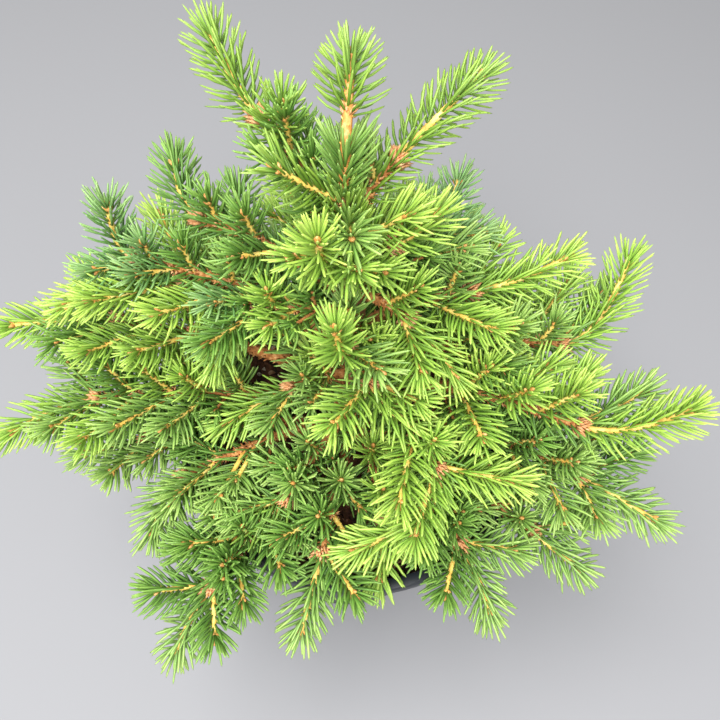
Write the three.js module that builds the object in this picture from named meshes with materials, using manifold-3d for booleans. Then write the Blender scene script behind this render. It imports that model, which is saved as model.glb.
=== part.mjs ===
// Young spruce in a plastic nursery pot: pot, soil, trunk, main boughs and masses of foliage.
// Millimetres, +Z up. The origin is the middle of the flat underside of the pot.
import * as THREE from "three";
import { mergeVertices } from "three/addons/utils/BufferGeometryUtils.js";
import Module from "manifold-3d";

const wasm = await Module();
wasm.setup();

// The gap kept between pieces that touch, the finest detail kept where shoots are joined, and how
// near two corners are merged
const CLEAR = 0.3;
const FINEST = 0.02;
const MERGE_WITHIN = 1e-4;

// Pot: a round tapered pot, 150 mm across its lip and 125 mm tall
const POT_HEIGHT = 125;
const POT_LIP_RADIUS = 75;
const POT_NECK_RADIUS = 72.6;
const POT_BASE_RADIUS = 50;
const POT_WALL = 2.2;
const POT_FLOOR = 3;
const POT_LIP_HEIGHT = 6;
const POT_EDGE = 0.8;
const POT_SIDES = 36;
const DRAIN_HOLES = 6;
const DRAIN_RADIUS = 4.5;
const DRAIN_REACH = 33;
const DRAIN_SIDES = 10;

// Soil: fills the pot to a little below the lip
const SOIL_TOP = 108;
const SOIL_FLAT_RADIUS = 15;
const SOIL_RINGS = [28, 41, 54];
const SOIL_RELIEF = 2.4;

// Trunk: from its flat cut at the soil to its tip, with a flare, a taper and a lean
const TRUNK_BASE = SOIL_TOP + CLEAR;
const TRUNK_TIP = 246;
const TRUNK_RADIUS = 6.4;
const TRUNK_TIP_RADIUS = 2.1;
const FLARE_RADIUS = 3.4;
const FLARE_HEIGHT = 9;
const LEAN_TURN = 146;
const LEAN_REACH = 11;
const TRUNK_SIDES = 10;
const TRUNK_RINGS = [0, 2, 5, 10, 18, 32, 52, 76, 102, 122];

// Boughs: one tapering limb each, arched a little
const BOUGH_SIDES = 5;
const BOUGH_STEPS = 4;
const BOUGH_RADIUS = 1.6;
const BOUGH_RADIUS_PER_REACH = 0.012;
const BOUGH_TIP_SHARE = 0.72;
const BARE_SHARE = 0.3;
const ARCH = 0.13;
const KNEE_SHARE = 0.4;

// Needles and the slim cores of the shoots that carry them. A needle is skipped where it would
// come nearer than NEEDLE_ROOM to another shoot, and its root takes up to NEEDLE_ROOT around it.
const NEEDLE = 12.5;
const SHORTEST_NEEDLE = 0.85;
const NEEDLE_ROOT = 2.6;
const NEEDLE_ROOM = 0.6;
const NEEDLE_STEP = 7.8;
const NEEDLE_SEED = 500;
const ROOT_SHARE = 0.12;
const STEM_RADIUS = 1.7;
const STEM_TO_BOUGH = 0.9;
const CORE_TIP_RADIUS = 0.9;
const END_SPIKE = 10;
const SIDE_CORE_RADIUS = 1.4;
const SUNK_SHARE = 0.5;
const SPREAD_AT_FOOT = 66;
const SPREAD_AT_TIP = 34;

// Side shoots: where they leave the stem, how far they turn out, and how long they are. A pair of
// numbers is the least share of a drawn value and how far above it the draw may go.
const SITE_STEP = 14;
const SITE_ROOM = 4;
const SIDE_TURN = 50;
const SIDE_TURN_DRAW = [0.8, 0.4];
const SIDE_LIFT = 12;
const SIDE_SHARE = 0.72;
const SIDE_SHARE_DRAW = [0.75, 0.4];
const TOP_TURN = 35;
const TOP_LIFT = 55;
const TOP_SHARE = 0.5;
const SHORTEST_SIDE = 14;
const SHORTER_TRIES = [1, 0.75, 0.55];
const SIDE_RISE = 0.08;
const ROOM_IN_MASS = 0.6;
const ROOM_TO_OTHERS = 2.5;
const ROOM_TO_POT = 3;

// The leader bends back from the tip of the trunk, bare below and tufted above
const LEADER = { turn: 92, lift: 52, length: 37, bareLength: 20, radius: 1.9, bendShare: 0.5 };

// Each limb: the side of the trunk that it leaves, the height of its foot there, the reach and
// height of its last fork, then the length, change of heading and lift of its end shoot.
// A limb with bough: false is short, so its foliage meets the trunk itself.
const LIMBS = [
  { name: "left_long", turn: 189, foot: 133, reach: 100, height: 149, shoot: 36, veer: 20, lift: -5 },
  { name: "left", turn: 176, foot: 150, reach: 91, height: 170, shoot: 40, veer: 17, lift: 5 },
  { name: "right_front", turn: 340, foot: 141, reach: 90, height: 150, shoot: 34, veer: -4, lift: -9 },
  { name: "right", turn: 343, foot: 158, reach: 82, height: 175, shoot: 38, veer: 17, lift: 28 },
  { name: "right_back", turn: 6, foot: 166, reach: 74, height: 177, shoot: 40, veer: 42, lift: 35 },
  { name: "left_back", turn: 171, foot: 184, reach: 79, height: 198, shoot: 22, veer: -30, lift: 62 },
  { name: "left_upper", turn: 170, foot: 175, reach: 63, height: 191, shoot: 44, veer: 30, lift: -2 },
  { name: "back_left_top", turn: 141, foot: 231, reach: 36, height: 252, shoot: 30, veer: -9, lift: 27,
    sides: 0.5, bough: false },
  { name: "back_right_top", turn: 48, foot: 236, reach: 18, height: 248, shoot: 40, veer: 1, lift: 19,
    sides: 0.5, bough: false },
  { name: "back_left", turn: 161, foot: 204, reach: 56, height: 214, shoot: 24, veer: -38, lift: 20,
    sides: 0.8 },
  { name: "back_right", turn: 49, foot: 203, reach: 35, height: 206, shoot: 30, veer: 18, lift: 5,
    bough: false },
  { name: "right_upper", turn: 18, foot: 189, reach: 40, height: 196, shoot: 38, veer: 1, lift: 15 },
  { name: "front_mid", turn: 306, foot: 168, reach: 52, height: 170, shoot: 42, veer: -80, lift: -24 },
  { name: "front_left_low", turn: 239, foot: 116, reach: 90, height: 129,
    shoot: 30, veer: 2, lift: -33 },
  { name: "front_low", turn: 263, foot: 124, reach: 63, height: 136,
    shoot: 32, veer: -4, lift: -27 },
  { name: "front_right_low", turn: 308, foot: 126, reach: 69, height: 134,
    shoot: 31, veer: -5, lift: -28 },
  { name: "right_front_low", turn: 325, foot: 118, reach: 84, height: 136,
    shoot: 26, veer: 9, lift: -22 },
  { name: "left_lowest", turn: 195, foot: 119, reach: 85, height: 130,
    shoot: 28, veer: 2, lift: -8 },
  { name: "left_front_low", turn: 212, foot: 127, reach: 73, height: 136,
    shoot: 27, veer: 31, lift: -22 },
  { name: "left_front_upper", turn: 187, foot: 194, reach: 34, height: 196, shoot: 26, veer: 37, lift: -42,
    bough: false },
  { name: "front_left_inner", turn: 245, foot: 140, reach: 51, height: 141,
    shoot: 28, veer: -38, lift: -18 },
  { name: "front_inner", turn: 286, foot: 134, reach: 50, height: 138, shoot: 25, veer: -16, lift: -22,
    bough: false },
  { name: "left_inner", turn: 205, foot: 160, reach: 25, height: 161, shoot: 32, veer: 2, lift: -20,
    bough: false },
  { name: "front_right_mid", turn: 286, foot: 182, reach: 22, height: 187,
    shoot: 31, veer: 45, lift: -20, bough: false },
  { name: "front_right_upper", turn: 343, foot: 206, reach: 18, height: 202,
    shoot: 29, veer: -18, lift: -30, bough: false },
  { name: "front_upper", turn: 267, foot: 197, reach: 18, height: 202, shoot: 25, veer: -16, lift: 64,
    bough: false },
  { name: "top_front", turn: 245, foot: 224, reach: 10, height: 231, shoot: 25, veer: 10, lift: 58,
    bough: false },
  { name: "top_right", turn: 5, foot: 221, reach: 11, height: 227, shoot: 19, veer: 25, lift: 25,
    bough: false },
  { name: "back_low_right", turn: 33, foot: 134, reach: 66, height: 143, shoot: 33, veer: 4, lift: 6 },
  { name: "back_low", turn: 68, foot: 122, reach: 66, height: 135, shoot: 32, veer: 4, lift: -2 },
  { name: "back_low_left", turn: 103, foot: 130, reach: 66, height: 142, shoot: 32, veer: 4, lift: 4 },
  { name: "left_back_low", turn: 138, foot: 142, reach: 70, height: 146, shoot: 33, veer: 4, lift: 2 },
  { name: "back_mid_right", turn: 60, foot: 168, reach: 44, height: 176, shoot: 30, veer: -6, lift: 8 },
  { name: "back_mid_left", turn: 116, foot: 172, reach: 48, height: 184, shoot: 30, veer: 6, lift: 10,
    bough: false },
];

const UP = new THREE.Vector3(0, 0, 1);

// A seeded draw between 0 and 1, the same on each run
function seededDraw(seed) {
  let state = seed;
  return () => {
    state = (Math.imul(1664525, state) + 1013904223) >>> 0;
    return state / 4294967296;
  };
}

function drawn(draw, [least, range]) {
  return least + range * draw();
}

// The direction at a turn round the trunk and a lift above level, both in degrees
function heading(turn, lift = 0) {
  const t = THREE.MathUtils.degToRad(turn);
  const l = THREE.MathUtils.degToRad(lift);
  return new THREE.Vector3(Math.cos(t) * Math.cos(l), Math.sin(t) * Math.cos(l), Math.sin(l));
}

// The two directions across a tangent: to its left and above it
function across(tangent) {
  const left = new THREE.Vector3().crossVectors(UP, tangent).normalize();
  const above = new THREE.Vector3().crossVectors(tangent, left);
  return { left, above };
}

// Geometry and solids
function solidOf(geometry) {
  geometry.deleteAttribute("normal");
  geometry.deleteAttribute("uv");
  const merged = mergeVertices(geometry, MERGE_WITHIN);
  return new wasm.Manifold(new wasm.Mesh({
    numProp: 3,
    vertProperties: new Float32Array(merged.attributes.position.array),
    triVerts: new Uint32Array(merged.index.array),
  }));
}

function geometryOf(solid) {
  const { vertProperties, triVerts } = solid.getMesh();
  const geometry = new THREE.BufferGeometry();
  geometry.setAttribute("position", new THREE.BufferAttribute(vertProperties, 3));
  geometry.setIndex(new THREE.BufferAttribute(triVerts, 1));
  geometry.computeVertexNormals();
  return geometry;
}

function indexedGeometry(points, triangles) {
  const geometry = new THREE.BufferGeometry().setFromPoints(points);
  geometry.setIndex(triangles);
  geometry.computeVertexNormals();
  return geometry;
}

// A closed tube through rings of equally many points
function tubeGeometry(rings) {
  const sides = rings[0].length;
  const triangles = [];
  for (let k = 0; k + 1 < rings.length; k++) {
    for (let j = 0; j < sides; j++) {
      const [a, b] = [k * sides + j, k * sides + (j + 1) % sides];
      triangles.push(a, b, a + sides, b, b + sides, a + sides);
    }
  }
  const last = (rings.length - 1) * sides;
  for (let j = 1; j + 1 < sides; j++) {
    triangles.push(0, j + 1, j, last, last + j, last + j + 1);
  }
  return indexedGeometry(rings.flat(), triangles);
}

function ringPoints(centre, left, above, radius, sides, phase = 0) {
  return Array.from({ length: sides }, (_, j) => {
    const angle = phase + 2 * Math.PI * j / sides;
    return centre.clone()
      .addScaledVector(left, radius * Math.cos(angle))
      .addScaledVector(above, radius * Math.sin(angle));
  });
}

// A turned solid, from a profile of [radius, height] pairs
function turned(profile, sides) {
  const points = profile.map(([radius, height]) => new THREE.Vector2(radius, height));
  return new THREE.LatheGeometry(points, sides).rotateX(Math.PI / 2);
}

// Pot and soil
const neckHeight = POT_HEIGHT - POT_LIP_HEIGHT;

function potOuterRadius(height) {
  const share = Math.min(height / neckHeight, 1);
  return POT_BASE_RADIUS + (POT_NECK_RADIUS - POT_BASE_RADIUS) * share;
}

function makePot() {
  const mouth = POT_NECK_RADIUS - POT_WALL;
  const shell = turned([
    [0, 0],
    [POT_BASE_RADIUS - POT_EDGE, 0],
    [POT_BASE_RADIUS, POT_EDGE],
    [POT_NECK_RADIUS, neckHeight],
    [POT_LIP_RADIUS, neckHeight + POT_EDGE],
    [POT_LIP_RADIUS, POT_HEIGHT - POT_EDGE],
    [POT_LIP_RADIUS - POT_EDGE, POT_HEIGHT],
    [mouth + POT_EDGE, POT_HEIGHT],
    [mouth, POT_HEIGHT - POT_EDGE],
    [mouth, neckHeight],
    [potOuterRadius(POT_FLOOR) - POT_WALL, POT_FLOOR],
    [0, POT_FLOOR],
  ], POT_SIDES);
  let solid = solidOf(shell);
  for (let k = 0; k < DRAIN_HOLES; k++) {
    const centre = heading(360 * k / DRAIN_HOLES).multiplyScalar(DRAIN_REACH);
    const hole = new THREE.CylinderGeometry(DRAIN_RADIUS, DRAIN_RADIUS, 4 * POT_FLOOR, DRAIN_SIDES);
    hole.rotateX(Math.PI / 2).translate(centre.x, centre.y, 0);
    solid = solid.subtract(solidOf(hole));
  }
  return geometryOf(solid);
}

function makeSoil() {
  const sideRadius = (height) => potOuterRadius(height) - POT_WALL - CLEAR;
  const foot = POT_FLOOR + CLEAR;
  const edge = SOIL_TOP - SOIL_RELIEF;
  const geometry = turned([
    [0, foot],
    [sideRadius(foot), foot],
    [sideRadius(edge), edge],
    ...SOIL_RINGS.toReversed().map((radius) => [radius, SOIL_TOP]),
    [SOIL_FLAT_RADIUS, SOIL_TOP],
    [0, SOIL_TOP],
  ], POT_SIDES);
  geometry.deleteAttribute("normal");
  geometry.deleteAttribute("uv");
  const soil = mergeVertices(geometry, MERGE_WITHIN);
  const draw = seededDraw(5);
  const { position } = soil.attributes;
  for (let i = 0; i < position.count; i++) {
    const radius = Math.hypot(position.getX(i), position.getY(i));
    const onTop = position.getZ(i) > SOIL_TOP - 0.01;
    if (onTop && radius > SOIL_FLAT_RADIUS + 1) {
      position.setZ(i, SOIL_TOP - SOIL_RELIEF * draw());
    }
  }
  soil.computeVertexNormals();
  return soil;
}

// Trunk
function trunkCentre(height) {
  const share = (height - TRUNK_BASE) / (TRUNK_TIP - TRUNK_BASE);
  const centre = heading(LEAN_TURN).multiplyScalar(LEAN_REACH * share * share);
  return centre.setZ(height);
}

function trunkRadius(height) {
  const rise = height - TRUNK_BASE;
  const share = rise / (TRUNK_TIP - TRUNK_BASE);
  const flare = FLARE_RADIUS * Math.exp(-rise / FLARE_HEIGHT);
  return TRUNK_RADIUS + (TRUNK_TIP_RADIUS - TRUNK_RADIUS) * share + flare;
}

function makeTrunk() {
  const heights = [...TRUNK_RINGS.map((rise) => TRUNK_BASE + rise), TRUNK_TIP];
  const rings = heights.map((height) => ringPoints(trunkCentre(height), heading(0), heading(90),
    trunkRadius(height), TRUNK_SIDES));
  return tubeGeometry(rings);
}

// The way of a limb: an arch from its foot on the trunk to its last fork, then its end shoot
function limbWay(limb) {
  const out = heading(limb.turn);
  const centre = trunkCentre(limb.foot);
  const widest = trunkRadius(limb.foot - boughRadius(limb));
  const foot = centre.clone().addScaledVector(out, widest + CLEAR);
  const fork = centre.clone().addScaledVector(out, limb.reach).setZ(limb.height);
  const bend = foot.clone().lerp(fork, 0.5).addScaledVector(UP, ARCH * limb.reach);
  const onward = fork.clone().sub(bend).normalize();
  const knee = fork.clone().addScaledVector(onward, KNEE_SHARE * limb.shoot);
  const tip = fork.clone().addScaledVector(heading(limb.turn + limb.veer, limb.lift), limb.shoot);
  const way = new THREE.CurvePath();
  way.add(new THREE.QuadraticBezierCurve3(foot, bend, fork));
  way.add(new THREE.QuadraticBezierCurve3(fork, knee, tip));
  return way;
}

function leaderWay() {
  const foot = trunkCentre(TRUNK_TIP + CLEAR);
  const tip = foot.clone().addScaledVector(heading(LEADER.turn, LEADER.lift), LEADER.length);
  const bend = foot.clone().addScaledVector(UP, LEADER.bendShare * LEADER.length);
  const way = new THREE.CurvePath();
  way.add(new THREE.QuadraticBezierCurve3(foot, bend, tip));
  return way;
}

function straightWay(start, direction, length) {
  const middle = start.clone().addScaledVector(direction, 0.5 * length);
  const tip = start.clone().addScaledVector(direction, length)
    .addScaledVector(UP, SIDE_RISE * length);
  const way = new THREE.CurvePath();
  way.add(new THREE.QuadraticBezierCurve3(start, middle, tip));
  return way;
}

function frameAlong(way, distance) {
  const share = THREE.MathUtils.clamp(distance / way.getLength(), 0, 1);
  const tangent = way.getTangent(share);
  return { centre: way.getPoint(share), tangent, ...across(tangent) };
}

// A bough: its first ring stands flat against the trunk, and its last one across its own way
function boughRadius(limb) {
  return BOUGH_RADIUS + BOUGH_RADIUS_PER_REACH * limb.reach;
}

function boughLength(limb) {
  return BARE_SHARE * limb.reach;
}

function makeBough(limb) {
  const rings = [];
  for (let k = 0; k <= BOUGH_STEPS; k++) {
    const share = k / BOUGH_STEPS;
    const frame = frameAlong(limb.way, share * boughLength(limb));
    const radius = boughRadius(limb) * (1 + (BOUGH_TIP_SHARE - 1) * share);
    const { left, above } = k === 0 ? across(heading(limb.turn)) : frame;
    rings.push(ringPoints(frame.centre, left, above, radius, BOUGH_SIDES));
  }
  return tubeGeometry(rings);
}

// Shoots: each is planned as a core first, so that no needle is raised through another core
function planShoot({ way, from, radius, limb, parent = null, needlesFrom = 0, against = null }) {
  const length = way.getLength() - from;
  const gaps = Math.max(2, Math.round(length / NEEDLE_STEP));
  const stations = [];
  for (let k = 0; k <= gaps; k++) {
    const share = k / gaps;
    const frame = frameAlong(way, from + length * share);
    stations.push({ ...frame, share, radius: radius + (CORE_TIP_RADIUS - radius) * share });
  }
  if (against) {
    Object.assign(stations[0], across(against));
  }
  return { limb, parent, stations, needlesFrom };
}

function endSpike({ centre, tangent }) {
  return centre.clone().addScaledVector(tangent, END_SPIKE);
}

function coreLines(shoot) {
  const { stations } = shoot;
  const centres = [...stations.map(({ centre }) => centre), endSpike(stations.at(-1))];
  return stations.map((station, k) => ({
    line: new THREE.Line3(centres[k], centres[k + 1]),
    radius: station.radius,
    shoot,
  }));
}

function boughLine(limb) {
  const start = frameAlong(limb.way, 0).centre;
  const end = frameAlong(limb.way, boughLength(limb)).centre;
  const middle = frameAlong(limb.way, 0.5 * boughLength(limb)).centre;
  return [new THREE.Line3(start, middle), new THREE.Line3(middle, end)]
    .map((line) => ({ line, radius: boughRadius(limb), shoot: null }));
}

function trunkLine() {
  const heights = TRUNK_RINGS.map((rise) => TRUNK_BASE + rise).concat(TRUNK_TIP);
  return heights.slice(1).map((height, k) => ({
    line: new THREE.Line3(trunkCentre(heights[k]), trunkCentre(height)),
    radius: trunkRadius(heights[k]),
    shoot: null,
  }));
}

const nearA = new THREE.Vector3();
const nearB = new THREE.Vector3();

function gapBetween(lineA, lineB) {
  return Math.sqrt(lineA.distanceSqToLine3(lineB, nearA, nearB));
}

// True where a point lies in the pot, in the soil, under the pot's lip or too near to them
function nearPot(point, margin) {
  const radius = Math.hypot(point.x, point.y);
  const inWall = point.z < POT_HEIGHT + margin && radius < POT_LIP_RADIUS + margin
    && radius > potOuterRadius(point.z) - POT_WALL - margin;
  return inWall || (point.z < SOIL_TOP + margin && radius < POT_LIP_RADIUS);
}

function lineNearPot(line, margin) {
  return [0, 0.25, 0.5, 0.75, 1].some((share) => nearPot(line.at(share, nearA), margin));
}

// Side shoots leave the stem at its fork and at even steps back from it, by a seeded rule
function planSideShoots(limb, stem, cores) {
  const draw = seededDraw(limb.seed);
  const forkAt = limb.way.curves[0].getLength();
  const share = SIDE_SHARE * (limb.sides ?? 1);
  let site = 0;
  for (let back = 0; back < forkAt - stem.from - SITE_ROOM; back += SITE_STEP) {
    const frame = frameAlong(limb.way, forkAt - back);
    const { centre } = frame;
    for (const hand of [1, -1]) {
      const direction = aside(frame, hand * SIDE_TURN * drawn(draw, SIDE_TURN_DRAW), SIDE_LIFT);
      const wanted = limb.shoot * share * drawn(draw, SIDE_SHARE_DRAW);
      placeSideShoot({ limb, stem, cores, centre, direction, wanted });
    }
    if (site > 0) {
      const direction = aside(frame, TOP_TURN * (2 * draw() - 1), TOP_LIFT);
      placeSideShoot({ limb, stem, cores, centre, direction, wanted: limb.shoot * TOP_SHARE });
    }
    site += 1;
  }
}

// A direction turned aside from a tangent and lifted above it, both in degrees
function aside({ tangent, left, above }, turn, lift) {
  const t = THREE.MathUtils.degToRad(turn);
  const l = THREE.MathUtils.degToRad(lift);
  return new THREE.Vector3()
    .addScaledVector(tangent, Math.cos(t) * Math.cos(l))
    .addScaledVector(left, Math.sin(t) * Math.cos(l))
    .addScaledVector(above, Math.sin(l));
}

function placeSideShoot({ limb, stem, cores, centre, direction, wanted }) {
  for (const share of SHORTER_TRIES) {
    const length = wanted * share;
    if (length < SHORTEST_SIDE) {
      return;
    }
    const way = straightWay(centre, direction, length);
    const shoot = planShoot({ way, from: 0, radius: SIDE_CORE_RADIUS, limb, parent: stem.shoot });
    const lines = coreLines(shoot);
    const blocked = lines.some(({ line, radius }, k) => lineNearPot(line, ROOM_TO_POT)
      || cores.some((other) => {
        const inMass = other.shoot === stem.shoot || other.shoot?.parent === stem.shoot;
        const room = inMass ? ROOM_IN_MASS : ROOM_TO_OTHERS;
        return !(k === 0 && inMass)
          && gapBetween(line, other.line) < radius + other.radius + room;
      }));
    if (!blocked) {
      cores.push(...lines);
      limb.shoots.push(shoot);
      return;
    }
  }
}

// A needle is a spike raised on one face of a core: a flat face stays where it has no room
function needleOn(face, station, rootShare, length) {
  const foot = face[0].clone().add(face[1]).add(face[2]).divideScalar(3);
  const outward = foot.clone().sub(station.centre);
  outward.addScaledVector(station.tangent, -outward.dot(station.tangent)).normalize();
  const spread = THREE.MathUtils.degToRad(
    THREE.MathUtils.lerp(SPREAD_AT_FOOT, SPREAD_AT_TIP, rootShare));
  const tip = foot.clone()
    .addScaledVector(outward, length * Math.sin(spread))
    .addScaledVector(station.tangent, length * Math.cos(spread));
  return { foot, tip };
}

function needleFits(foot, tip, shoot, cores, needles) {
  const line = new THREE.Line3(foot.clone().lerp(tip, ROOT_SHARE), tip);
  const meetsCore = (other) => other.shoot !== shoot
    && gapBetween(line, other.line) < other.radius + thicknessAt(nearA, foot) + NEEDLE_ROOM;
  const meetsNeedle = (other) => other.shoot !== shoot
    && other.foot.distanceTo(foot) < 2 * NEEDLE
    && gapBetween(line, other.line)
      < thicknessAt(nearA, foot) + thicknessAt(nearB, other.foot) + NEEDLE_ROOM;
  if (lineNearPot(line, NEEDLE_ROOM) || cores.some(meetsCore) || needles.some(meetsNeedle)) {
    return false;
  }
  needles.push({ line, foot, shoot });
  return true;
}

// How far a needle spreads round its own line at a point on it
function thicknessAt(point, foot) {
  return NEEDLE_ROOT * Math.max(1 - point.distanceTo(foot) / NEEDLE, 0);
}

function makeShoot(shoot, cores, needles, draw) {
  const { stations } = shoot;
  const rings = stations.map(({ centre, left, above, radius }, k) => ringPoints(centre, left, above,
    k === 0 && shoot.parent ? SUNK_SHARE * radius : radius, 3, k * Math.PI / 3));
  const points = rings.flat();
  const triangles = [0, 2, 1];
  const raise = (corners, station, share) => {
    const length = NEEDLE * THREE.MathUtils.lerp(SHORTEST_NEEDLE, 1, draw());
    const face = corners.map((index) => points[index]);
    const { foot, tip } = needleOn(face, station, share, length);
    if (share < shoot.needlesFrom || !needleFits(foot, tip, shoot, cores, needles)) {
      triangles.push(...corners);
      return;
    }
    const apex = points.push(tip) - 1;
    corners.forEach((corner, k) => triangles.push(corner, corners[(k + 1) % 3], apex));
  };
  for (let k = 0; k + 1 < stations.length; k++) {
    const middle = {
      centre: stations[k].centre.clone().lerp(stations[k + 1].centre, 0.5),
      tangent: stations[k].tangent,
    };
    const share = (stations[k].share + stations[k + 1].share) / 2;
    for (let j = 0; j < 3; j++) {
      const [a, next] = [3 * k + j, 3 * k + (j + 1) % 3];
      const [b, nextB] = [a + 3, next + 3];
      raise([a, next, b], middle, share);
      raise([b, next, nextB], middle, share);
    }
  }
  const last = points.length;
  const end = 3 * (stations.length - 1);
  points.push(endSpike(stations.at(-1)));
  triangles.push(end, end + 1, last, end + 1, end + 2, last, end + 2, end, last);
  return solidOf(indexedGeometry(points, triangles));
}

function makeMass(limb, cores, needles) {
  const draw = seededDraw(limb.seed + NEEDLE_SEED);
  const solids = limb.shoots.map((shoot) => makeShoot(shoot, cores, needles, draw));
  return geometryOf(wasm.Manifold.union(solids).simplify(FINEST));
}

// The plant: every core is planned before the first needle is raised
function growPlant() {
  const cores = trunkLine();
  LIMBS.forEach((limb, k) => {
    limb.seed = 11 + k;
    limb.way = limbWay(limb);
    const hasBough = limb.bough !== false;
    const from = hasBough ? boughLength(limb) + CLEAR : 0;
    const radius = hasBough ? STEM_TO_BOUGH * BOUGH_TIP_SHARE * boughRadius(limb) : STEM_RADIUS;
    const against = hasBough ? null : heading(limb.turn);
    const shoot = planShoot({ way: limb.way, from, radius, limb, against });
    limb.stem = { shoot, from };
    limb.shoots = [shoot];
    cores.push(...coreLines(shoot), ...(hasBough ? boughLine(limb) : []));
  });
  const leader = { name: "leader", seed: 7, way: leaderWay() };
  leader.shoots = [planShoot({
    way: leader.way,
    from: 0,
    radius: LEADER.radius,
    limb: leader,
    needlesFrom: LEADER.bareLength / LEADER.length,
  })];
  cores.push(...coreLines(leader.shoots[0]));
  LIMBS.forEach((limb) => planSideShoots(limb, limb.stem, cores));
  return { leader, cores };
}

// Finishes
const potPlastic = { color: 0x16181b, roughness: 0.45, metalness: 0 };
const soilFinish = { color: 0x3a2a1f, roughness: 0.95, metalness: 0 };
const barkFinish = { color: 0x8a5a33, roughness: 0.85, metalness: 0 };
const needleFinish = { color: 0x6fa53a, roughness: 0.55, metalness: 0 };

const group = new THREE.Group();

function addPiece(name, geometry, finish) {
  const mesh = new THREE.Mesh(geometry, new THREE.MeshStandardMaterial(finish));
  mesh.name = name;
  group.add(mesh);
}

const { leader, cores } = growPlant();
const needles = [];
addPiece("pot", makePot(), potPlastic);
addPiece("soil", makeSoil(), soilFinish);
addPiece("trunk", makeTrunk(), barkFinish);
addPiece("foliage_leader", makeMass(leader, cores, needles), needleFinish);
for (const limb of LIMBS) {
  if (limb.bough !== false) {
    addPiece(`bough_${limb.name}`, makeBough(limb), barkFinish);
  }
  addPiece(`foliage_${limb.name}`, makeMass(limb, cores, needles), needleFinish);
}

export default group;
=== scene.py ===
import math
import bmesh
import bpy
import numpy as np
from mathutils import Matrix, Vector, noise


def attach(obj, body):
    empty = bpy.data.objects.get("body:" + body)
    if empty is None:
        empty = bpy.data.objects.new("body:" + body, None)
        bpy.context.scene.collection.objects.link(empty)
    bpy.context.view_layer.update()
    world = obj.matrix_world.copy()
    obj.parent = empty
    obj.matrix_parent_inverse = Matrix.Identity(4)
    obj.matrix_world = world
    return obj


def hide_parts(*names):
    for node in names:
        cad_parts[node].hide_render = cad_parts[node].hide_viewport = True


# A young spruce in a black nursery pot, seen from above and in front

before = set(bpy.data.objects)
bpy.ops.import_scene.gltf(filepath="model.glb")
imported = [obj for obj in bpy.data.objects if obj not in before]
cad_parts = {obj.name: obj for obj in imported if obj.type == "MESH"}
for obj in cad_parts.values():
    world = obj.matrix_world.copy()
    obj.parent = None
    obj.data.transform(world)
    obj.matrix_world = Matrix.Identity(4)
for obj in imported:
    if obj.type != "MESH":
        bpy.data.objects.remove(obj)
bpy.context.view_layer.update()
scene = bpy.context.scene
mm = 0.001  # the plant is planned in millimetres and made in metres
up = np.array([0.0, 0.0, 1.0])
goldenTurn = math.radians(137.508)  # the turn from one needle to the next round a shoot
fullTurn = 6.28  # in radians, the range of a turn that is drawn


# Small helpers: objects, meshes, colours and nodes

def addObject(name, mesh, material, nodes=()):
    piece = bpy.data.objects.new(name, mesh)
    scene.collection.objects.link(piece)
    mesh.materials.append(material)
    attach(piece, "root")
    if nodes:
        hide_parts(*nodes)


def meshOfCopies(name, points, faces):  # each copy's points in mm, and the corners of one copy's faces
    copies, pointCount = points.shape[:2]
    corners = np.array(faces)[None] + (np.arange(copies) * pointCount)[:, None, None]
    mesh = bpy.data.meshes.new(name)
    mesh.vertices.add(copies * pointCount)
    mesh.vertices.foreach_set("co", (points * mm).astype(np.float32).ravel())
    mesh.loops.add(corners.size)
    mesh.loops.foreach_set("vertex_index", corners.astype(np.int32).ravel())
    mesh.polygons.add(copies * len(faces))
    mesh.polygons.foreach_set("loop_start", np.arange(0, corners.size, 3, dtype=np.int32))
    mesh.update(calc_edges=True)
    mesh.shade_smooth()
    return mesh


def meshFromForm(name, form):
    mesh = bpy.data.meshes.new(name)
    form.to_mesh(mesh)
    form.free()
    return mesh


def toLinear(hexColour):
    values = [int(hexColour[k:k + 2], 16) / 255 for k in (1, 3, 5)]
    return (*[v / 12.92 if v <= 0.04045 else ((v + 0.055) / 1.055) ** 2.4 for v in values], 1)


def addNode(tree, kind, settings, links=(), stops=()):
    # links: (input, node, output) of what feeds it. stops: (place, hex colour) along a colour ramp
    node = tree.nodes.new("ShaderNode" + kind)
    for name, value in settings.items():
        if hasattr(node, name):
            setattr(node, name, value)
        else:
            node.inputs[name].default_value = value
    for k, (place, colour) in enumerate(stops):
        elements = node.color_ramp.elements
        element = elements[k] if k < len(elements) else elements.new(place)
        element.position = place
        element.color = toLinear(colour)
    for entry, source, output in links:
        tree.links.new(source.outputs[output], node.inputs[entry])
    return node


def evenStops(colours, low=0.0, high=1.0):  # a colour ramp's stops, in even steps
    return list(zip(np.linspace(low, high, len(colours)), colours))


def scaleOf(grain):  # the scale of a noise with grains of that many mm
    return 1 / (grain * mm)


def newMaterial(name, shaderSettings):
    material = bpy.data.materials.new(name)
    material.use_nodes = True
    tree = material.node_tree
    shader = tree.nodes["Principled BSDF"]
    for entry, value in shaderSettings.items():
        shader.inputs[entry].default_value = value
    return material, tree, shader, addNode(tree, "TexCoord", {})


# Directions and ways, worked out in millimetres as in the solids

def seededDraw(seed):  # the same row of draws on each run, as the solids have it
    state = seed

    def draw(low=0, high=1):
        nonlocal state
        state = (1664525 * state + 1013904223) % 4294967296
        return low + (high - low) * state / 4294967296
    return draw


def unit(vectors):
    return vectors / np.linalg.norm(vectors, axis=-1, keepdims=True)


def heading(turn, lift=0.0):
    turn, lift = math.radians(turn), math.radians(lift)
    return np.array([math.cos(turn) * math.cos(lift), math.sin(turn) * math.cos(lift), math.sin(lift)])


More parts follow.
